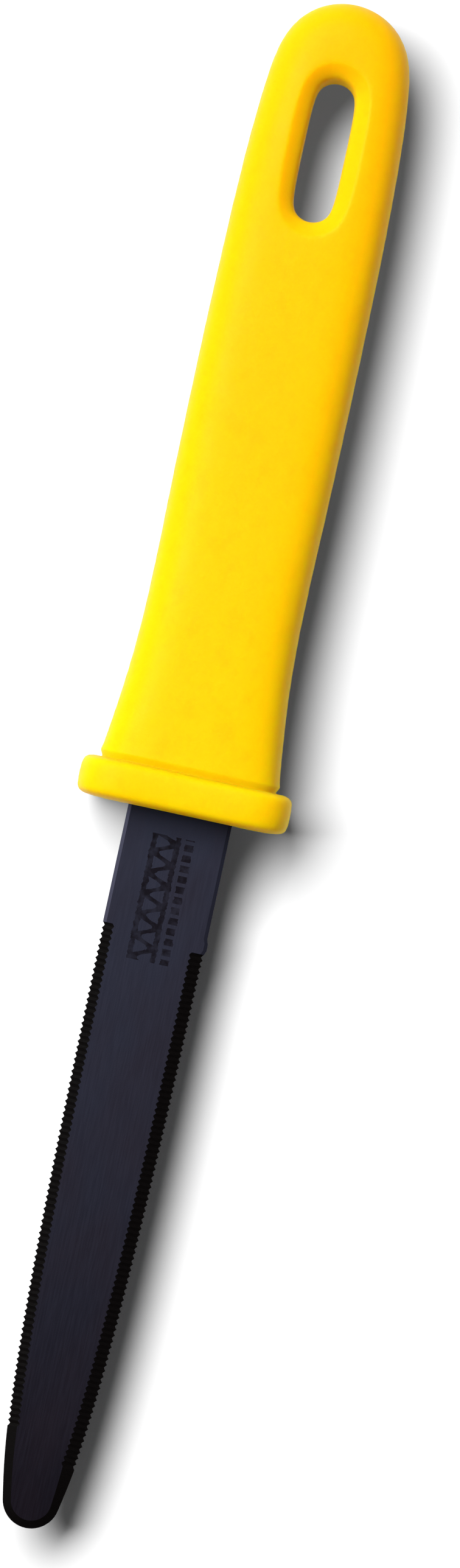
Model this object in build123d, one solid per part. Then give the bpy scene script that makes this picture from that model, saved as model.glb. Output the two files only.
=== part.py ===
"""Double-edged corrugated-cardboard knife: a coated steel blade with a plastic handle moulded on.

The knife lies flat. X runs across it, +Y points to the butt end and -Y to the blade's tip, and
+Z points up out of the upper face. The origin is on the surface that the guard rests on, under
the middle of the knife's length. All sizes are in millimetres, and angles in degrees.
"""
from build123d import *
import math
import os

# ---- overall sizes ----
overall_length = 190.0     # butt end to blade tip
handle_length = 101.0      # butt end to the front face of the guard

# ---- guard: a rounded plate across the front of the handle ----
guard_width = 26.2         # across the knife
guard_depth = 16.0         # from its lower flat to its upper flat
guard_thickness = 4.9      # along the knife
guard_corner = 5.0         # its four corners, seen along the knife
guard_edge = 0.7           # rounding round both of its faces

# ---- body of the handle ----
body_depth = 11.0          # between its two broad faces
body_edge = 4.0            # rounding along its outline
butt_radius = 8.1          # round butt end
butt_turn = 68.0           # angle of that arc on each side of the axis
swell_half_width = 9.66    # widest place, under the palm
swell_from_butt = 46.0
waist_half_width = 9.45    # narrow place, behind the forefinger
waist_from_guard = 28.0
root_half_width = 11.15    # where the sides meet the back of the guard
root_flare = 7.0           # angle by which the sides spread there

# ---- hang slot, through the butt end ----
slot_width = 5.2
slot_length = 16.9
slot_from_butt = 9.7       # butt end to the nearest point of the slot
slot_edge = 1.4            # rounding of both mouths

# ---- blade ----
blade_thickness = 1.0
blade_half_width = 6.45
neck_length = 14.2         # plain length from the guard to the first tooth
neck_chamfer = 0.3         # broken edges of the plain length
tip_radius = 3.5
tip_turn = 79.0            # angle of the tip's arc on each side of the axis
tooth_pitch = 0.745
tooth_depth = 0.3
last_tooth_from_tip = 8.0
bevel_width = 1.4          # ground band along the toothed edges and round the tip
edge_thickness = 0.2       # thickness that the bevels leave at the edge

# ---- tang, inside the handle ----
seat_depth = 3.0           # length of full-width blade inside the guard
tang_length = 46.0         # from the guard's front face to the end of the tang
tang_half_width = 5.6
tang_corner = 2.0
lock_hole = 5.0            # holes that fill with plastic and lock the tang
lock_holes_from_guard = (17.0, 34.0)

# ---- places that follow from the sizes ----
butt_y = overall_length / 2
tip_y = butt_y - overall_length
guard_y = butt_y - handle_length           # front face of the guard
guard_back_y = guard_y + guard_thickness
tooth_y = guard_y - neck_length            # first tooth
mid_z = guard_depth / 2                    # middle plane of the handle and of the blade
slot_y = butt_y - slot_from_butt - slot_length / 2


def eased(start, start_turn, end, end_turn, leave, arrive):
    """A smooth curve down one side, from start to end.

    The turns are its angles to the axis at both ends, positive where it spreads outwards towards
    the tip. leave and arrive say how far it keeps to them, as shares of its length."""
    reach = math.dist(start, end)
    out, back = math.radians(start_turn), math.radians(end_turn)
    first = (
        start[0] + leave * reach * math.sin(out),
        start[1] - leave * reach * math.cos(out),
    )
    second = (
        end[0] - arrive * reach * math.sin(back),
        end[1] + arrive * reach * math.cos(back),
    )
    return Bezier(start, first, second, end)


def body_outline():
    """Round butt end, and one smooth side to the guard, mirrored to the other side."""
    turn = math.radians(butt_turn)
    butt_side = (butt_radius * math.sin(turn), butt_y - butt_radius * (1 - math.cos(turn)))
    swell = (swell_half_width, butt_y - swell_from_butt)
    waist = (waist_half_width, guard_y + waist_from_guard)
    root = (root_half_width, guard_back_y)
    inside_guard = guard_back_y - guard_thickness / 2
    spread = guard_thickness / 2 * math.tan(math.radians(root_flare))
    with BuildSketch() as sketch:
        with BuildLine():
            CenterArc((0, butt_y - butt_radius), butt_radius, 90 - butt_turn, butt_turn)
            eased(butt_side, 90 - butt_turn, swell, 0, 0.085, 0.78)
            eased(swell, 0, waist, 0, 0.8, 0.27)
            eased(waist, 0, root, root_flare, 0.47, 0.34)
            Polyline(root, (root_half_width + spread, inside_guard), (0, inside_guard))
            mirror(about=Plane.YZ)
        make_face()
    return sketch.sketch


def make_body():
    """The grip, as deep as the hand holds it and rounded along its outline."""
    block = extrude(Pos(0, 0, mid_z - body_depth / 2) * body_outline(), amount=body_depth)
    flats = block.faces().filter_by(Axis.Z)
    rim = [edge for edge in flats.edges() if edge.center().Y > guard_back_y]
    return fillet(rim, body_edge)


def make_guard():
    """A plate with rounded corners and a soft edge round both faces."""
    with BuildSketch(Plane.XZ.offset(-guard_back_y)) as section:
        with Locations((0, mid_z)):
            RectangleRounded(guard_width, guard_depth, guard_corner)
    plate = extrude(section.sketch, amount=guard_thickness)
    return fillet(plate.faces().filter_by(Axis.Y).edges(), guard_edge)


def cut_hang_slot(grip):
    """A round-ended slot through both faces, with rounded mouths."""
    with BuildSketch() as outline:
        with Locations((0, slot_y)):
            SlotOverall(slot_length, slot_width, rotation=90)
    cutter = extrude(outline.sketch, amount=guard_depth)
    grip = grip - cutter
    reach = slot_length / 2 + slot_edge
    mouths = [
        edge for edge in grip.faces().filter_by(Axis.Z).edges()
        if abs(edge.center().Y - slot_y) < reach and abs(edge.center().X) < slot_width / 2 + 0.01
    ]
    return fillet(mouths, slot_edge)


def toothed_side():
    """The right-hand edge: the whole smooth curve, its tooth points, and the plain end of it."""
    turn = math.radians(tip_turn)
    tip_side = (tip_radius * math.sin(turn), tip_y + tip_radius * (1 - math.cos(turn)))
    curve = eased((blade_half_width, tooth_y), 0, tip_side, tip_turn - 90, 0.78, 0.1)
    count = int((curve.length - last_tooth_from_tip) / tooth_pitch)
    points = []
    for number in range(count):
        gullet = (number + 0.5) * tooth_pitch / curve.length
        along = curve.tangent_at(gullet)
        inward = Vector(along.Y, -along.X)
        points.append(curve.position_at(number * tooth_pitch / curve.length))
        points.append(curve.position_at(gullet) + inward * tooth_depth)
    last = count * tooth_pitch / curve.length
    points.append(curve.position_at(last))
    return curve, points, curve.trim(last, 1)


def front_plate(with_teeth):
    """The blade from the first tooth to the tip as a plain plate, with teeth or smooth."""
    curve, points, plain_end = toothed_side()
    with BuildSketch() as sketch:
        with BuildLine():
            Line((0, tooth_y), (blade_half_width, tooth_y))
            if with_teeth:
                Polyline(*points)
                add(plain_end)
            else:
                add(curve)
            CenterArc((0, tip_y + tip_radius), tip_radius, -90, tip_turn)
            mirror(about=Plane.YZ)
        make_face()
    return extrude(Pos(0, 0, mid_z - blade_thickness / 2) * sketch.sketch, amount=blade_thickness)


def ground_front():
    """The toothed plate, with a bevel ground on both faces along its edges and round its tip."""
    wedge = front_plate(with_teeth=False)
    rise = (blade_thickness - edge_thickness) / 2
    for flat in wedge.faces().filter_by(Axis.Z):
        rim = [edge for edge in flat.edges() if edge.center().Y < tooth_y - tooth_pitch]
        wedge = wedge.chamfer(bevel_width, rise, rim, flat)
    return front_plate(with_teeth=True) & wedge


def flat_bar(half_width, from_y, to_y):
    """A flat bar in the blade's plane, between two places along the knife."""
    length = to_y - from_y
    return Pos(0, (from_y + to_y) / 2, mid_z) * Box(2 * half_width, length, blade_thickness)


def make_blade():
    """Ground and toothed front, plain neck, and a narrower tang with its lock holes."""
    neck = flat_bar(blade_half_width, tooth_y, guard_y + seat_depth)
    long_edges = neck.edges().filter_by(Axis.Y)
    neck = chamfer(long_edges, neck_chamfer)
    tang = flat_bar(tang_half_width, guard_y + seat_depth, guard_y + tang_length)
    corners = tang.edges().filter_by(Axis.Z).group_by(Axis.Y)[-1]
    tang = fillet(corners, tang_corner)
    for distance in lock_holes_from_guard:
        tang = tang - Pos(0, guard_y + distance, mid_z) * Cylinder(lock_hole / 2, blade_thickness)
    return ground_front() + neck + tang


def make_handle(blade):
    """Grip and guard in one piece, moulded close round the blade's seat and tang."""
    return cut_hang_slot(make_body()) + make_guard() - blade


os.makedirs("parts", exist_ok=True)
blade = make_blade()
handle = make_handle(blade)
for node, piece in {"blade": blade, "handle": handle}.items():
    piece.label = node
    export_step(piece, f"parts/{node}.step")
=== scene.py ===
import math

import bmesh
import bpy
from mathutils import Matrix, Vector
from mathutils.geometry import interpolate_bezier


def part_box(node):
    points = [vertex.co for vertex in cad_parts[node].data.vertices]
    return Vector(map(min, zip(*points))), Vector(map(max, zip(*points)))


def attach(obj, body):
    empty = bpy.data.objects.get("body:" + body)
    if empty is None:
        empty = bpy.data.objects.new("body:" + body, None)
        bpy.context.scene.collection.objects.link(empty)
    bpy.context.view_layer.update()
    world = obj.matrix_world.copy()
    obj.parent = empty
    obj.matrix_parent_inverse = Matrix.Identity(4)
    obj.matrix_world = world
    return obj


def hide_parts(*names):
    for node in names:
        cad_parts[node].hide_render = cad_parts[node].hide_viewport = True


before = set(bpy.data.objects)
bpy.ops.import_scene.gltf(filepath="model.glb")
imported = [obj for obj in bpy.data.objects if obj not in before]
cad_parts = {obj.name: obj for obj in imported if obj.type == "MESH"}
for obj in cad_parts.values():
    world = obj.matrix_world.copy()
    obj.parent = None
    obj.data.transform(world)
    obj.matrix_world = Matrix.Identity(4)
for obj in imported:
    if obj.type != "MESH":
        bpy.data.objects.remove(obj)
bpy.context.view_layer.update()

MM = 0.001
handle_low, handle_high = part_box("handle")
blade_low, blade_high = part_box("blade")
butt_y = handle_high.y
front_y = handle_low.y                          # the guard's front face
tip_y = blade_low.y
mid_z = (handle_low.z + handle_high.z) / 2      # the middle plane of handle and blade


# ---- The table and the light -------------------------------------------------------------
# A plain white table top, one oval diffuser up on the left that throws a short soft shadow to
# the right, a faint even fill, and a camera that looks straight down on the knife's upper face.

table_size = 1.3
table_gap = 0.2 * MM                            # keeps the table's face and the guard's apart

bpy.ops.mesh.primitive_plane_add(size=table_size, location=(0, 0, -table_gap))
table = bpy.context.object
table.name = "table_top"


def plain_material(name, colour, roughness):
    material = bpy.data.materials.new(name)
    material.use_nodes = True
    shader = material.node_tree.nodes["Principled BSDF"]
    shader.inputs["Base Color"].default_value = (*colour, 1)
    shader.inputs["Roughness"].default_value = roughness
    return material


table.data.materials.append(plain_material("white_table", (0.9, 0.9, 0.9), 0.9))

# The camera looks straight down from a metre above the knife, a little turned about that line.
camera_turn = math.radians(12.27)
camera_height = 1.0
view_centre = (5.13 * MM, -1.05 * MM)
view_height = 0.1912                            # how much it takes in along its upright
sensor_height = 24
camera_data = bpy.data.cameras.new("camera")
camera_data.sensor_fit = "VERTICAL"
camera_data.sensor_height = sensor_height
camera_data.lens = sensor_height * camera_height / view_height
camera = bpy.data.objects.new("camera", camera_data)
camera.location = (*view_centre, mid_z + camera_height)
camera.rotation_euler = (0, 0, camera_turn)
bpy.context.scene.collection.objects.link(camera)
bpy.context.scene.camera = camera


# The oval diffuser stands up on the left and faces the knife.
light_data = bpy.data.lights.new("upper_left_diffuser", "AREA")
light_data.shape = "ELLIPSE"
light_data.size, light_data.size_y = 1.15, 0.62
light_data.energy = 22.8
light = bpy.data.objects.new("upper_left_diffuser", light_data)
light.location = (-0.49, 0.31, 1.0)
light.rotation_euler = (-light.location).to_track_quat("-Z", "Y").to_euler()
bpy.context.scene.collection.objects.link(light)

# The room gives little light, so the shadow stays deep, but what is seen of it past the table's
# edge is as pale as the table.
room_light, room_as_seen = 0.085, 1.0
world = bpy.data.worlds.new("studio")
world.use_nodes = True
world_nodes = world.node_tree.nodes
room = world_nodes["Background"]
room.inputs["Color"].default_value = (1, 1, 1, 1)
seen_directly = world_nodes.new("ShaderNodeLightPath").outputs["Is Camera Ray"]
strength = world_nodes.new("ShaderNodeMapRange")
strength.inputs["To Min"].default_value = room_light
strength.inputs["To Max"].default_value = room_as_seen
world.node_tree.links.new(seen_directly, strength.inputs["Value"])
world.node_tree.links.new(strength.outputs["Result"], room.inputs["Strength"])
bpy.context.scene.world = world
bpy.context.scene.view_settings.view_transform = "Standard"


# ---- The handle --------------------------------------------------------------------------
# Grip, guard and hang slot in one shot of bright yellow polypropylene, moulded round the
# tang in a two-part mould. The mould closes on the middle plane, where it leaves a fine seam.

butt_radius = 8.1 * MM
butt_turn = math.radians(68)
swell = (9.66 * MM, butt_y - 46 * MM)
waist = (9.45 * MM, front_y + 28 * MM)
guard_thickness = 4.9 * MM
root = (11.15 * MM, front_y + guard_thickness)
root_flare = math.radians(7)
slot_radius = 2.6 * MM
slot_low_y = butt_y - 24.6 * MM                 # centres of its two round ends
slot_high_y = butt_y - 12.3 * MM


def eased_controls(start, start_turn, end, end_turn, leave, arrive):
    """Control points of a smooth side curve from start to end.

    The turns are its angles to the knife's axis at the ends, and leave and arrive say how long it
    keeps to them, as shares of its length."""
    reach = math.dist(start, end)
    first = Vector((start[0] + leave * reach * math.sin(start_turn),
                    start[1] - leave * reach * math.cos(start_turn)))
    second = Vector((end[0] - arrive * reach * math.sin(end_turn),
                     end[1] + arrive * reach * math.cos(end_turn)))
    return Vector(start), first, second, Vector(end)


def eased(*run):
    """Points along such a curve."""
    points_in_run = 80
    return interpolate_bezier(*eased_controls(*run), points_in_run)


def outline_points():
    """The grip's right-hand outline in plan, from the middle of the butt to the guard."""
    centre_y = butt_y - butt_radius
    steps = 60
    angles = [butt_turn * i / steps for i in range(steps)]
    points = [Vector((butt_radius * math.sin(angle), centre_y + butt_radius * math.cos(angle)))
              for angle in angles]
    side = (butt_radius * math.sin(butt_turn), centre_y + butt_radius * math.cos(butt_turn))
    points += eased(side, math.pi / 2 - butt_turn, swell, 0, 0.085, 0.78)[:-1]
    points += eased(swell, 0, waist, 0, 0.8, 0.27)[:-1]
    points += eased(waist, 0, root, root_flare, 0.47, 0.34)
    return points


outline = outline_points()


def half_width(y):
    """The grip's half width at a place along it."""
    return min(outline, key=lambda point: abs(point.y - y)).x


# The handle grows from one quarter sheet. Its columns run along the knife: the middle, the slot's
# mouth, and the start of the rounded side. The profiles give inset or half width, and height.
mouth_x = 4.7 * MM
side_profile = [(2.5 * MM, 5.05 * MM), (0.46 * MM, 3.6 * MM), (0, 1.2 * MM), (0, 0)]
mouth_profile = [(mouth_x, 5.42 * MM), (4.4 * MM, 5.33 * MM), (2.95 * MM, 4.35 * MM),
                 (slot_radius, 3.5 * MM), (slot_radius, 0)]
crest_z = 5.52 * MM
# Smoothing pulls a ring in, the more so the wider its steps, so rings are drawn larger by this.
arc_swell = 1.107                               # for steps of 45 degrees
butt_swell = 1.03                               # for the finer steps round the butt
grip_rows = [60.5, 54, 47, 40, 33, 26, 20, 15, 10, 6, 3, 1.2]   # from the back of the guard, in mm


def side_point(y, inset):
    """A point set in from the grip's side at a place along it."""
    return Vector((half_width(y) - inset, y))


def butt_point(angle, inset):
    """A point set in from the round butt end, at an angle from the axis."""
    radius = (butt_radius - inset) * butt_swell
    return Vector((radius * math.sin(angle), butt_y - butt_radius + radius * math.cos(angle)))


inset, edge_z = side_profile[0]
diagonal = mouth_x * arc_swell * math.sqrt(0.5)
slot_mid_y = (slot_low_y + slot_high_y) / 2
end_reach = mouth_x * arc_swell
rows = [
    (butt_point(0, inset), butt_point(math.radians(27), inset),
     butt_point(math.radians(52), inset)),
    (Vector((0, slot_high_y + end_reach)), Vector((diagonal, slot_high_y + diagonal)),
     butt_point(math.radians(78), inset)),
    (Vector((0, slot_high_y)), Vector((mouth_x, slot_high_y)),
     side_point(slot_high_y + 1 * MM, inset)),
    (Vector((0, slot_mid_y)), Vector((mouth_x, slot_mid_y)), side_point(slot_mid_y, inset)),
    (Vector((0, slot_low_y)), Vector((mouth_x, slot_low_y)),
     side_point(slot_low_y - 0.5 * MM, inset)),
    (Vector((0, slot_low_y - end_reach)), Vector((diagonal, slot_low_y - diagonal)),
     side_point(slot_low_y - 4.5 * MM, inset)),
]
for distance in grip_rows:
    y = root[1] + distance * MM
    rows.append((Vector((0, y)), Vector((mouth_x, y)), side_point(y, inset)))

bpy.ops.object.select_all(action="DESELECT")
bpy.ops.mesh.primitive_grid_add(x_subdivisions=2, y_subdivisions=len(rows) - 1, size=0.02,
                                location=(0, 0, 0))
handle = bpy.context.object
handle.name = "moulded_handle"
for vertex in handle.data.vertices:
    column, row = vertex.index % 3, vertex.index // 3
    place = rows[row][column]
    vertex.co = (place.x, place.y, (crest_z, mouth_profile[0][1], edge_z)[column])
handle.data.update()

bpy.ops.object.mode_set(mode="EDIT")
mesh = bmesh.from_edit_mesh(handle.data)


weld = 1e-6                                     # points nearer than this are one


def near(value, target):
    return abs(value - target) < weld


def select_only(elements):
    bpy.ops.mesh.select_all(action="DESELECT")
    for element in elements:
        element.select_set(True)
    mesh.select_flush_mode()


def open_edges(test):
    """Edges with one face, off the axis plane, whose both ends pass the test."""
    return [edge for edge in mesh.edges if len(edge.link_faces) == 1
            and not all(near(vertex.co.x, 0) for vertex in edge.verts)
            and all(test(vertex.co) for vertex in edge.verts)]


def extrude_ring(edges, place):
    """Extrudes a run of open edges and puts each new vertex where place says.

    Returns the new edges."""
    select_only(edges)
    bpy.ops.mesh.extrude_edges_move()
    fresh = [vertex for vertex in mesh.verts if vertex.select]
    for vertex in fresh:
        vertex.co = place(vertex.co.copy())
    return [edge for edge in mesh.edges if edge.select]


def round_slot(radius, z):
    """Places a ring on the slot's outline, at a radius and a height."""
    def place(co):
        centre_y = min(max(co.y, slot_low_y), slot_high_y)
        out = Vector((co.x, co.y - centre_y))
        straight = near(centre_y, co.y)
        reach = radius if straight else radius * arc_swell
        out = out.normalized() * reach
        return Vector((out.x, centre_y + out.y, z))
    return place


def round_outline(inset, z):
    """Places a ring along the grip's outline, set in from it, at a height."""
    def place(co):
        beyond = co.y - (butt_y - butt_radius)
        if beyond > 0:
            point = butt_point(math.atan2(co.x, beyond), inset)
        else:
            point = side_point(co.y, inset)
        return Vector((point.x, point.y, z))
    return place


# The sheet is opened over the slot, whose mouth and wall go down from there. Its outer edge
# rounds over and goes down to the middle plane.
def over_slot(co, reach):
    return slot_low_y - reach < co.y < slot_high_y + reach


select_only([face for face in mesh.faces if face.calc_center_median().x < mouth_x / 2
             and over_slot(face.calc_center_median(), mouth_x)])
bpy.ops.mesh.delete(type="FACE")
ring = open_edges(lambda co: co.x < mouth_x * 1.05 and over_slot(co, mouth_x * 1.2))
for radius, z in mouth_profile[1:]:
    ring = extrude_ring(ring, round_slot(radius, z))
outer_ring = open_edges(lambda co: co.y > root[1] - 1 * MM and co.z > edge_z - weld)
last_row_y = rows[-1][0].y


def in_last_row(edge):
    return all(near(vertex.co.y, last_row_y) for vertex in edge.verts)


outer_ring = [edge for edge in outer_ring if not in_last_row(edge)]
for inset, z in side_profile[1:]:
    outer_ring = extrude_ring(outer_ring, round_outline(inset, z))

# The guard and the pocket for the blade go on round the open end. Each section is a quarter of
# it, from the middle of its upper flat to the middle of its side, in millimetres.
guard_back = root[1]
guard_section = [(0, 8.0), (5.2, 8.0), (9.6, 8.1), (12.5, 6.5), (13.1, 3.0), (13.1, 0)]
seat_section = [(0, 0.54), (3.0, 0.54), (5.9, 0.54), (6.52, 0.52), (6.54, 0.3), (6.54, 0)]
tang_section = [(0, 0.6), (2.6, 0.6), (5.0, 0.6), (5.7, 0.58), (5.74, 0.3), (5.74, 0)]
root_section = [(0, 5.52), (4.7, 5.42), (8.65, 5.05), (10.7, 3.6), (11.15, 1.2), (11.15, 0)]
tang_end_section = [(0, 0), (2.6, 0), (5.0, 0), (5.5, 0), (5.68, 0), (5.74, 0)]
seat_depth = 3.0 * MM                           # how far the blade's full width goes in
tang_reach = 46.0 * MM                          # from the guard's front face to the tang's end


def grown(section, by):
    """The section with its sides moved outwards by a distance in millimetres."""
    half, rise = section[-1][0], section[0][1]
    return [(x * (half + by) / half, z * (rise + by) / rise) for x, z in section]


def set_section(vertices, y, section):
    """Places one ring of six vertices: each goes to the section point of its rank."""
    ranked = sorted(vertices, key=lambda vertex: math.atan2(vertex.co.x, max(vertex.co.z, 0)))
    for vertex, (x, z) in zip(ranked, section):
        vertex.co = Vector((x * MM, y, z * MM))


# In order: a fine groove at the root, the guard's back edge, its rim, its bowed front face, the
# mouth of the pocket, the blade's seat and the tang's bed.
guard_rings = [
    (guard_back + 0.95 * MM, grown(root_section, 0.03)),
    (guard_back + 0.45 * MM, grown(root_section, -0.24)),
    (guard_back + 0.12 * MM, grown(root_section, -0.4)),
    (guard_back, grown(root_section, -0.25)),
    (guard_back, grown(root_section, 0.5)),
    (guard_back, grown(guard_section, -1.2)),
    (guard_back - 0.25 * MM, grown(guard_section, -0.25)),
    (guard_back - 1.2 * MM, guard_section),
    (front_y + 1.3 * MM, guard_section),
    (front_y + 0.45 * MM, grown(guard_section, -0.25)),
    (front_y + 0.12 * MM, grown(guard_section, -1.3)),
    (front_y, grown(guard_section, -3.6)),
    (front_y, grown(seat_section, 0.5)),
    (front_y + 0.05 * MM, seat_section),
    (front_y + 0.4 * MM, seat_section),
    (front_y + seat_depth, seat_section),
    (front_y + seat_depth, tang_section),
    (front_y + tang_reach, tang_section),
    (front_y + tang_reach + 0.2 * MM, tang_end_section),
]
ring = [edge for edge in mesh.edges if len(edge.link_faces) == 1 and in_last_row(edge)]
for y, section in guard_rings:
    select_only(ring)
    bpy.ops.mesh.extrude_edges_move()
    set_section([vertex for vertex in mesh.verts if vertex.select], y, section)
    ring = [edge for edge in mesh.edges if edge.select]
bmesh.update_edit_mesh(handle.data)
bpy.ops.object.mode_set(mode="OBJECT")


def finish_with(piece, kind, **settings):
    """Adds a modifier with these settings and applies it."""
    modifier = piece.modifiers.new(kind.lower(), kind)
    for name, value in settings.items():
        setattr(modifier, name, value)
    bpy.context.view_layer.objects.active = piece
    bpy.ops.object.modifier_apply(modifier=modifier.name)


smoothing = 3
finish_with(handle, "MIRROR", use_axis=(True, False, True), use_clip=True, merge_threshold=weld)
finish_with(handle, "SUBSURF", levels=smoothing, render_levels=smoothing)
bpy.ops.object.mode_set(mode="EDIT")
bpy.ops.mesh.select_all(action="SELECT")
bpy.ops.mesh.normals_make_consistent(inside=False)

# The seam is a low ridge of flash, a little uneven, all round the outside on the middle plane.
seam_half, seam_height, seam_unevenness = 0.1 * MM, 0.045 * MM, 0.015 * MM
pocket_half, pocket_end_y = 6.8 * MM, butt_y - 40 * MM
mesh = bmesh.from_edit_mesh(handle.data)


def on_seam(co):
    in_slot = abs(co.x) < slot_radius * 1.1 and over_slot(co, 3 * MM)
    in_pocket = abs(co.x) < pocket_half and co.y < pocket_end_y
    return near(co.z, 0) and not in_slot and not in_pocket


select_only([edge for edge in mesh.edges if all(on_seam(vertex.co) for vertex in edge.verts)])
bpy.ops.mesh.bevel(offset=seam_half, offset_type="OFFSET", segments=2, profile=0.5, affect="EDGES")
mesh = bmesh.from_edit_mesh(handle.data)
select_only([vertex for vertex in mesh.verts if on_seam(vertex.co)])
bpy.ops.transform.shrink_fatten(value=seam_height)
bpy.ops.transform.vertex_random(offset=seam_unevenness, uniform=0.0, normal=1.0, seed=4)
bpy.ops.mesh.select_all(action="SELECT")
bpy.ops.transform.translate(value=(0, 0, mid_z))
bpy.ops.object.mode_set(mode="OBJECT")
bpy.ops.object.shade_smooth()


def wire(material, kind, output, inputs, **settings):
    """Adds a node, gives its inputs values or other nodes' outputs, and returns one output."""
    node = material.node_tree.nodes.new(kind)
    for name, value in settings.items():
        setattr(node, name, value)
    for key, value in inputs.items():
        if isinstance(value, bpy.types.NodeSocket):
            material.node_tree.links.new(value, node.inputs[key])
        else:
            node.inputs[key].default_value = value
    return node.outputs[output]


def math_of(material, operation, first, second=0.0):
    return wire(material, "ShaderNodeMath", 0, {0: first, 1: second}, operation=operation)


def coordinate(material, axis):
    """The place on the object along X, Y or Z, in metres."""
    place = wire(material, "ShaderNodeTexCoord", "Object", {})
    return wire(material, "ShaderNodeSeparateXYZ", axis, {0: place})


def noise_of(material, per_mm, detail=3.0):
    """Noise with so many swings in a millimetre along X, Y and Z."""
    place = wire(material, "ShaderNodeTexCoord", "Object", {})
    scale = [1000 * part for part in per_mm]
    stretched = wire(material, "ShaderNodeMapping", 0, {"Vector": place, "Scale": scale})
    return wire(material, "ShaderNodeTexNoise", "Fac",
                {"Vector": stretched, "Scale": 1.0, "Detail": detail})


def ramp_of(material, value, low, high, first, last):
    """Follows a value from low to high with a result that goes from first to last."""
    return wire(material, "ShaderNodeMapRange", 0,
                {"Value": value, "From Min": low, "From Max": high,
                 "To Min": first, "To Max": last})


def mix_of(material, share, first, second):
    """Mixes two colours, each given as numbers or as a node's output."""
    colours = [(*colour, 1) if isinstance(colour, tuple) else colour for colour in (first, second)]
    return wire(material, "ShaderNodeMix", 2, {0: share, 6: colours[0], 7: colours[1]},
                data_type="RGBA")


def rough_surface(material, base_colour, roughness, height, relief, specular):
    """Joins the patterns to the shader, with bumps as high as relief."""
    shader = material.node_tree.nodes["Principled BSDF"]
    links = material.node_tree.links
    links.new(base_colour, shader.inputs["Base Color"])
    links.new(roughness, shader.inputs["Roughness"])
    bumped = wire(material, "ShaderNodeBump", 0,
                  {"Height": height, "Strength": 0.5, "Distance": relief})
    links.new(bumped, shader.inputs["Normal"])
    shader.inputs["Specular IOR Level"].default_value = specular


# The colour is painted lighter by the guard and deeper by the butt, as painted light and shade. It
# has wide flow marks and small dull marks from handling. The mould's spark texture breaks up the
# gloss.
painted_light_yellow, painted_shade_yellow = (0.96, 0.580, 0.001), (0.94, 0.478, 0.001)
flow_yellow, dulled_yellow = (0.94, 0.500, 0.001), (0.87, 0.435, 0.002)
plastic = plain_material("yellow_polypropylene", (0.93, 0.49, 0.003), 0.45)
# Painted light and shade: the yellow goes from lighter by the guard to deeper by the butt.
toward_butt = ramp_of(plastic, coordinate(plastic, "Y"), front_y, butt_y, 0.0, 1.0)
pigment_and_painted_light = mix_of(plastic, toward_butt, painted_light_yellow, painted_shade_yellow)
flow = ramp_of(plastic, noise_of(plastic, (0.09, 0.03, 0.06)), 0.4, 0.7, 0.0, 0.5)
pigment_and_painted_light = mix_of(plastic, flow, pigment_and_painted_light, flow_yellow)
handled = ramp_of(plastic, noise_of(plastic, (0.5, 0.35, 0.5), 5.0), 0.52, 0.75, 0.0, 0.30)
pigment_and_painted_light = mix_of(plastic, handled, pigment_and_painted_light, dulled_yellow)
spark_texture = math_of(plastic, "ADD", noise_of(plastic, (4.0, 4.0, 4.0)),
                        math_of(plastic, "MULTIPLY", noise_of(plastic, (0.6, 0.45, 0.6)), 1.6))
satin = ramp_of(plastic, noise_of(plastic, (0.4, 0.3, 0.4), 4.0), 0.3, 0.7, 0.40, 0.54)
rough_surface(plastic, pigment_and_painted_light, satin, spark_texture, 0.055 * MM, 0.04)
shader = plastic.node_tree.nodes["Principled BSDF"]
shader.inputs["Subsurface Weight"].default_value = 0.8
shader.inputs["Subsurface Radius"].default_value = (1.0, 0.25, 0.02)
shader.inputs["Subsurface Scale"].default_value = 4.0 * MM
handle.data.materials.append(plastic)
handle.visible_diffuse = False                  # the table stays white beside the bright plastic
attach(handle, "root")
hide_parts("handle")


# ---- The blade ---------------------------------------------------------------------------
# One strip of stainless steel, punched to shape. Both long edges are ground to a bevel on each
# face and grooved across into fine teeth, the tip is ground round, and a thin blue-black
# non-stick coating is baked on. Its tang has two holes that fill with the handle's plastic.

half_steel = (blade_high.z - blade_low.z) / 2
blade_half = 6.45 * MM
edge_start_y = front_y - 14.2 * MM
tip_radius = 3.5 * MM
tip_turn = math.radians(79)
tip_band = 1.0 * MM                             # width of the bevel round the tip
half_land = 0.1 * MM                            # half the thickness left at the edge
tooth_pitch = 0.745 * MM
tooth_depth = 0.28 * MM
tooth_shape = (0, 0.6, 1, 0.6, 0)               # how deep the groove is across one pitch
plain_steps = 10                                # from the last tooth to the tip's arc
tip_steps = 12
edge_samples = 400
chamfer_width, chamfer_fall = 0.42 * MM, 0.13 * MM
seat_end_y = front_y + seat_depth
tang_half, tang_end_y, tang_corner = 5.6 * MM, front_y + tang_reach, 2 * MM
tang_thinning = 0.96
slack = 1e-5                                    # a row that was bent into place is as true as this
lock_hole_radius = 2.5 * MM
lock_hole_places = (17 * MM, 34 * MM)           # from the guard's front face

tip_centre_y = tip_y + tip_radius
tip_side = (tip_radius * math.sin(tip_turn), tip_centre_y - tip_radius * math.cos(tip_turn))
edge_controls = eased_controls((blade_half, edge_start_y), 0,
                               tip_side, tip_turn - math.pi / 2, 0.78, 0.1)
edge_points = interpolate_bezier(*edge_controls, edge_samples)
edge_length = sum((b - a).length for a, b in zip(edge_points, edge_points[1:]))


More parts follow.
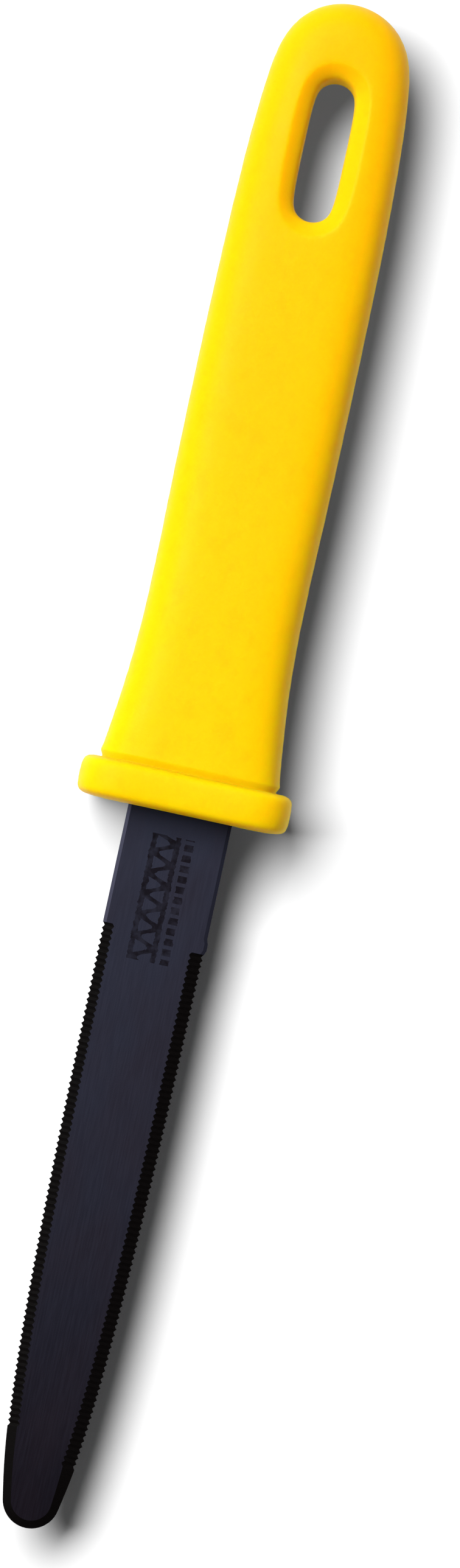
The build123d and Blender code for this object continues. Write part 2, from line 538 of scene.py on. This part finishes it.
def edge_line():
    """The smooth line that one row of teeth follows, as a curve object."""
    data = bpy.data.curves.new("edge_line", "CURVE")
    data.dimensions = "3D"
    data.twist_mode = "Z_UP"
    data.resolution_u = edge_samples // 2
    spline = data.splines.new("BEZIER")
    spline.bezier_points.add(1)
    start, leaving, arriving, end = [(point.x, point.y, 0) for point in edge_controls]
    for point, place, left, right in ((spline.bezier_points[0], start, start, leaving),
                                      (spline.bezier_points[1], end, arriving, end)):
        point.handle_left_type = point.handle_right_type = "FREE"
        point.co, point.handle_left, point.handle_right = place, left, right
    line = bpy.data.objects.new("edge_line", data)
    bpy.context.scene.collection.objects.link(line)
    return line


def finish_edit(piece):
    bmesh.update_edit_mesh(piece.data)
    bpy.ops.object.mode_set(mode="OBJECT")


def upper_half_of_side(name, first_tooth, teeth, bevel, neck_rows):
    """The upper half of one long side: its teeth, the plain rest of the edge, the tip, the neck.

    It is made as the right-hand side. first_tooth is how far down the edge the teeth start. Each
    neck row is a place along the knife and the half width there."""
    global mesh
    bpy.ops.object.select_all(action="DESELECT")
    bpy.ops.mesh.primitive_grid_add(x_subdivisions=4, y_subdivisions=2, size=1 * MM,
                                    location=(0, 0, 0))
    side = bpy.context.object
    side.name = name
    for vertex in side.data.vertices:
        column, row = vertex.index % 5, vertex.index // 5
        groove = tooth_depth * tooth_shape[column]
        x = first_tooth + tooth_pitch * column / 4
        y, z = ((-bevel - groove, half_steel), (-groove, half_land), (-groove, 0))[row]
        vertex.co = (x, y, z)
    finish_with(side, "ARRAY", count=teeth, use_relative_offset=False, use_constant_offset=True,
                constant_offset_displace=(tooth_pitch, 0, 0), use_merge_vertices=True,
                merge_threshold=weld)

    # The plain rest of the edge, on which the bevel narrows to the band round the tip.
    bpy.ops.object.mode_set(mode="EDIT")
    mesh = bmesh.from_edit_mesh(side.data)
    last_tooth = first_tooth + teeth * tooth_pitch
    row = [edge for edge in mesh.edges
           if all(near(vertex.co.x, last_tooth) for vertex in edge.verts)]
    for step in range(1, plain_steps + 1):
        share = step / plain_steps
        band = bevel + (tip_band - bevel) * share
        x = last_tooth + (edge_length - last_tooth) * share
        row = extrude_ring(row, lambda co: Vector((x, -band if co.z > half_land + weld else 0,
                                                   co.z)))
    finish_edit(side)

    # The strip is laid along the edge's line, and its last row is spun round the tip.
    line = edge_line()
    finish_with(side, "CURVE", object=line, deform_axis="POS_X")
    bpy.data.objects.remove(line)
    bpy.ops.object.mode_set(mode="EDIT")
    bpy.ops.mesh.spin(steps=tip_steps, angle=tip_turn, center=(0, tip_centre_y, 0), axis=(0, 0, 1))

    # The bevel starts at a small upright step. From there the plain neck runs into the guard, its
    # long edges broken by a shallow chamfer.
    start_y = edge_start_y - first_tooth
    inner = blade_half - 0.9 * bevel            # parts the new corners: the flat is inside this,
    outer = blade_half - 0.1 * bevel            # the slope's middle up to this, and then the edge

    def start_row(above):
        """Open edges where the bevel starts that have an end above this height."""
        found = bmesh.from_edit_mesh(side.data).edges
        return [edge for edge in found if len(edge.link_faces) == 1
                and all(abs(vertex.co.y - start_y) < slack for vertex in edge.verts)
                and max(vertex.co.z for vertex in edge.verts) > above + slack]

    def step_corner(co):
        if co.x < inner:
            return Vector((co.x, co.y, half_steel))
        if co.x < outer:
            return Vector((blade_half - chamfer_width, co.y, half_steel))
        return Vector((blade_half, co.y, half_steel - chamfer_fall))

    def neck_place(half, y):
        def place(co):
            if co.x > blade_half - 0.1 * MM:
                return Vector((half, y, co.z))
            if co.x > blade_half - chamfer_width - 0.1 * MM:
                return Vector((half - chamfer_width, y, co.z))
            return Vector((co.x, y, co.z))
        return place

    mesh = bmesh.from_edit_mesh(side.data)
    select_only(start_row(half_land))
    bpy.ops.mesh.subdivide(number_cuts=1)
    bpy.ops.mesh.select_mode(type="EDGE")
    mesh = bmesh.from_edit_mesh(side.data)
    extrude_ring(start_row(half_land), step_corner)
    bpy.ops.mesh.select_all(action="SELECT")
    bpy.ops.mesh.remove_doubles(threshold=weld)
    mesh = bmesh.from_edit_mesh(side.data)
    row = start_row(-half_steel)
    for y, half in neck_rows:
        row = extrude_ring(row, neck_place(half, y))
    bpy.ops.mesh.select_mode(type="VERT")
    finish_edit(side)
    return side


# The two sides aren't quite alike, as they are ground one after the other. On the right the wheel
# has pushed up a small burr where it first met the edge.
left_start, left_teeth, left_bevel = 0.5 * MM, 84, 1.2 * MM
right_start, right_teeth, right_bevel = 1.9 * MM, 87, 1.5 * MM
right_start_y = edge_start_y - right_start
burr = blade_half + 0.2 * MM
left_neck = [(seat_end_y, blade_half)]
right_neck = [(right_start_y + 0.5 * MM, burr), (right_start_y + 1.3 * MM, burr),
              (right_start_y + 1.9 * MM, blade_half), (seat_end_y, blade_half)]
left_side = upper_half_of_side("left_side", left_start, left_teeth, left_bevel, left_neck)
right_side = upper_half_of_side("right_side", right_start, right_teeth, right_bevel, right_neck)
for vertex in left_side.data.vertices:
    vertex.co.x *= -1
bpy.ops.object.select_all(action="DESELECT")
left_side.select_set(True)
right_side.select_set(True)
bpy.context.view_layer.objects.active = right_side
bpy.ops.object.join()
blade = bpy.context.object
blade.name = "toothed_blade"


def at_seat_end(vertex):
    return near(vertex.co.y, seat_end_y)


# The upper flat is one face between the two bevels, and the lower half is its mirror image.
bpy.ops.object.mode_set(mode="EDIT")
bpy.ops.mesh.select_all(action="SELECT")
bpy.ops.mesh.remove_doubles(threshold=weld)
mesh = bmesh.from_edit_mesh(blade.data)
select_only([vertex for vertex in mesh.verts
             if at_seat_end(vertex) and near(vertex.co.z, half_steel)
             and abs(vertex.co.x) < blade_half - chamfer_width - 0.1 * MM])
bpy.ops.mesh.edge_face_add()
mesh = bmesh.from_edit_mesh(blade.data)
select_only([edge for edge in mesh.edges if len(edge.link_faces) < 2
             and all(near(vertex.co.z, half_steel) for vertex in edge.verts)
             and (len(edge.link_faces) == 0
                  or not all(at_seat_end(vertex) for vertex in edge.verts))])
bpy.ops.mesh.edge_face_add()
finish_edit(blade)
finish_with(blade, "MIRROR", use_axis=(False, False, True), use_clip=True, merge_threshold=weld)

# The tang goes on from the seat's end, a little narrower and thinner, with two rounded corners.
bpy.ops.object.mode_set(mode="EDIT")
mesh = bmesh.from_edit_mesh(blade.data)
select_only([edge for edge in mesh.edges if len(edge.link_faces) == 1])
bpy.ops.mesh.edge_face_add()
bpy.ops.mesh.normals_make_consistent(inside=False)
bpy.ops.mesh.extrude_region_move()
bpy.ops.transform.resize(value=(tang_half / blade_half, 1, tang_thinning),
                         center_override=(0, seat_end_y, 0))
tang_x, tang_y = tang_half, seat_end_y
for corner_turn in (0, 30, 60, 90):
    angle = math.radians(corner_turn)
    next_x = tang_half - tang_corner * (1 - math.cos(angle))
    next_y = tang_end_y - tang_corner * (1 - math.sin(angle))
    bpy.ops.mesh.extrude_region_move(TRANSFORM_OT_translate={"value": (0, next_y - tang_y, 0)})
    bpy.ops.transform.resize(value=(next_x / tang_x, 1, 1), center_override=(0, next_y, 0))
    tang_x, tang_y = next_x, next_y

bpy.ops.mesh.select_all(action="SELECT")
bpy.ops.mesh.normals_make_consistent(inside=False)
bpy.ops.object.mode_set(mode="OBJECT")
for distance in lock_hole_places:
    bpy.ops.mesh.primitive_cylinder_add(vertices=32, radius=lock_hole_radius, depth=4 * half_steel,
                                        location=(0, front_y + distance, 0))
    punch = bpy.context.object
    finish_with(blade, "BOOLEAN", object=punch, operation="DIFFERENCE", solver="EXACT")
    bpy.data.objects.remove(punch)


# The coating is baked on, faintly streaked by the grinding under it. A pictogram of corrugated
# board is printed on the neck: two straight liners with a wave between them, and a row of dashes.
# It is a little ragged and worn.
mark_x, mark_y = -1.0 * MM, -16.6 * MM
mark_length, mark_half = 15.6 * MM, 1.45 * MM   # along the blade, and from the middle to a liner
mark_wave, mark_line = 2.6 * MM, 0.33 * MM       # length of one wave, and half a line's width
wave_height = mark_half * 0.8
dash_x, dash_half = 2.9 * MM, 0.55 * MM         # from the middle of the pictogram
dash_gap = 0.35                                 # share of each dash's run

coat = plain_material("coated_steel", (0.0125, 0.0125, 0.024), 0.36)
along = coordinate(coat, "Y")
ragged = math_of(coat, "MULTIPLY", math_of(coat, "SUBTRACT", noise_of(coat, (2.2, 2.2, 2.2)), 0.5),
                 0.5 * MM)
across = math_of(coat, "ADD", math_of(coat, "SUBTRACT", coordinate(coat, "X"), mark_x), ragged)
wave = math_of(coat, "SINE", math_of(coat, "MULTIPLY", along, 2 * math.pi / mark_wave))
off_wave = math_of(coat, "SUBTRACT", across, math_of(coat, "MULTIPLY", wave, wave_height))
on_wave = math_of(coat, "LESS_THAN", math_of(coat, "ABSOLUTE", off_wave), mark_line * 2)
off_liner = math_of(coat, "SUBTRACT", math_of(coat, "ABSOLUTE", across), mark_half)
on_liner = math_of(coat, "LESS_THAN", math_of(coat, "ABSOLUTE", off_liner), mark_line)
off_dash = math_of(coat, "ABSOLUTE", math_of(coat, "SUBTRACT", across, dash_x))
dash_phase = math_of(coat, "FRACT",
                     math_of(coat, "DIVIDE", math_of(coat, "ADD", along, 1.0), mark_wave / 2))
on_dash = math_of(coat, "MULTIPLY", math_of(coat, "GREATER_THAN", dash_phase, dash_gap),
                  math_of(coat, "LESS_THAN", off_dash, dash_half))
off_mark = math_of(coat, "ABSOLUTE", math_of(coat, "SUBTRACT", along, mark_y))
in_mark = math_of(coat, "LESS_THAN", off_mark, mark_length / 2)
printed = math_of(coat, "MAXIMUM", math_of(coat, "MAXIMUM", on_wave, on_liner), on_dash)
worn_print = ramp_of(coat, noise_of(coat, (1.0, 1.0, 1.0)), 0.35, 0.6, 0.6, 1.0)
mark = math_of(coat, "MULTIPLY", math_of(coat, "MULTIPLY", printed, in_mark), worn_print)

# The coating's colour is painted bluer and lighter by the guard and nearly black at the tip, a
# painted reflection along the blade. The tip is also rubbed smoother.
painted_reflection_blue_black, painted_shade_brown_black = (0.0125, 0.0145, 0.0250), (0.0022, 0.0008, 0.0014)
print_black = (0.0016, 0.0006, 0.0008)
cloud_tint, streak_tint = (0.0086, 0.0050, 0.0070), (0.014, 0.015, 0.025)
streaks = noise_of(coat, (7.0, 0.3, 1.0), 4.0)
clouds = noise_of(coat, (0.16, 0.08, 0.1))
toward_guard = ramp_of(coat, along, tip_y, front_y, 0.0, 1.0)
# Painted reflection: the colour goes from bluer and lighter by the guard to nearly black at the
# tip.
tint = mix_of(coat, toward_guard, painted_shade_brown_black, painted_reflection_blue_black)
tint = mix_of(coat, ramp_of(coat, clouds, 0.4, 0.7, 0.0, 0.45), tint, cloud_tint)
# The lighter streaks fade out towards the tip along with the painted reflection.
streaked = math_of(coat, "MULTIPLY", ramp_of(coat, streaks, 0.45, 0.75, 0.0, 0.35), toward_guard)
tint = mix_of(coat, streaked, tint, streak_tint)
tint = mix_of(coat, mark, tint, print_black)
grain = math_of(coat, "ADD", noise_of(coat, (9.0, 9.0, 9.0)),
                math_of(coat, "MULTIPLY", streaks, 0.6))
sheen_break = math_of(coat, "ADD", ramp_of(coat, streaks, 0.3, 0.7, 0.35, 0.43),
                      math_of(coat, "MULTIPLY", mark, 0.45))
rubbed_tip = ramp_of(coat, along, tip_y, tip_y + 45 * MM, -0.07, 0.0)
rough_surface(coat, tint, math_of(coat, "ADD", sheen_break, rubbed_tip), grain, 0.006 * MM, 0.21)
coat.node_tree.nodes["Principled BSDF"].inputs["Specular Tint"].default_value = (0.68, 0.68, 1.0, 1)

# The ground bevels have no shine: the coating lies thick and dull in their grooves.
bevel_black, scraped_black = (0.0006, 0.0003, 0.0003), (0.0024, 0.0016, 0.0016)
bevel_coat = plain_material("coated_bevel", (0.003, 0.002, 0.002), 0.6)
scrape = noise_of(bevel_coat, (1.5, 12.0, 4.0))
rough_surface(bevel_coat, mix_of(bevel_coat, scrape, bevel_black, scraped_black),
              ramp_of(bevel_coat, scrape, 0.3, 0.7, 0.55, 0.75), scrape, 0.01 * MM, 0.04)

blade.data.materials.append(coat)
blade.data.materials.append(bevel_coat)
level = 0.999                                   # a flat face's normal is this near to upright
crease = math.radians(14)                       # steeper edges than this stay sharp
for face in blade.data.polygons:
    first_ground = edge_start_y - (right_start if face.center.x > 0 else left_start)
    if abs(face.normal.z) < level and face.center.y < first_ground - slack:
        face.material_index = 1
bpy.ops.object.select_all(action="DESELECT")
blade.select_set(True)
bpy.context.view_layer.objects.active = blade
bpy.ops.object.mode_set(mode="EDIT")
bpy.ops.mesh.select_all(action="SELECT")
bpy.ops.transform.translate(value=(0, 0, mid_z))
bpy.ops.object.mode_set(mode="OBJECT")
bpy.ops.object.shade_smooth_by_angle(angle=crease)
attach(blade, "root")
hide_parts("blade")
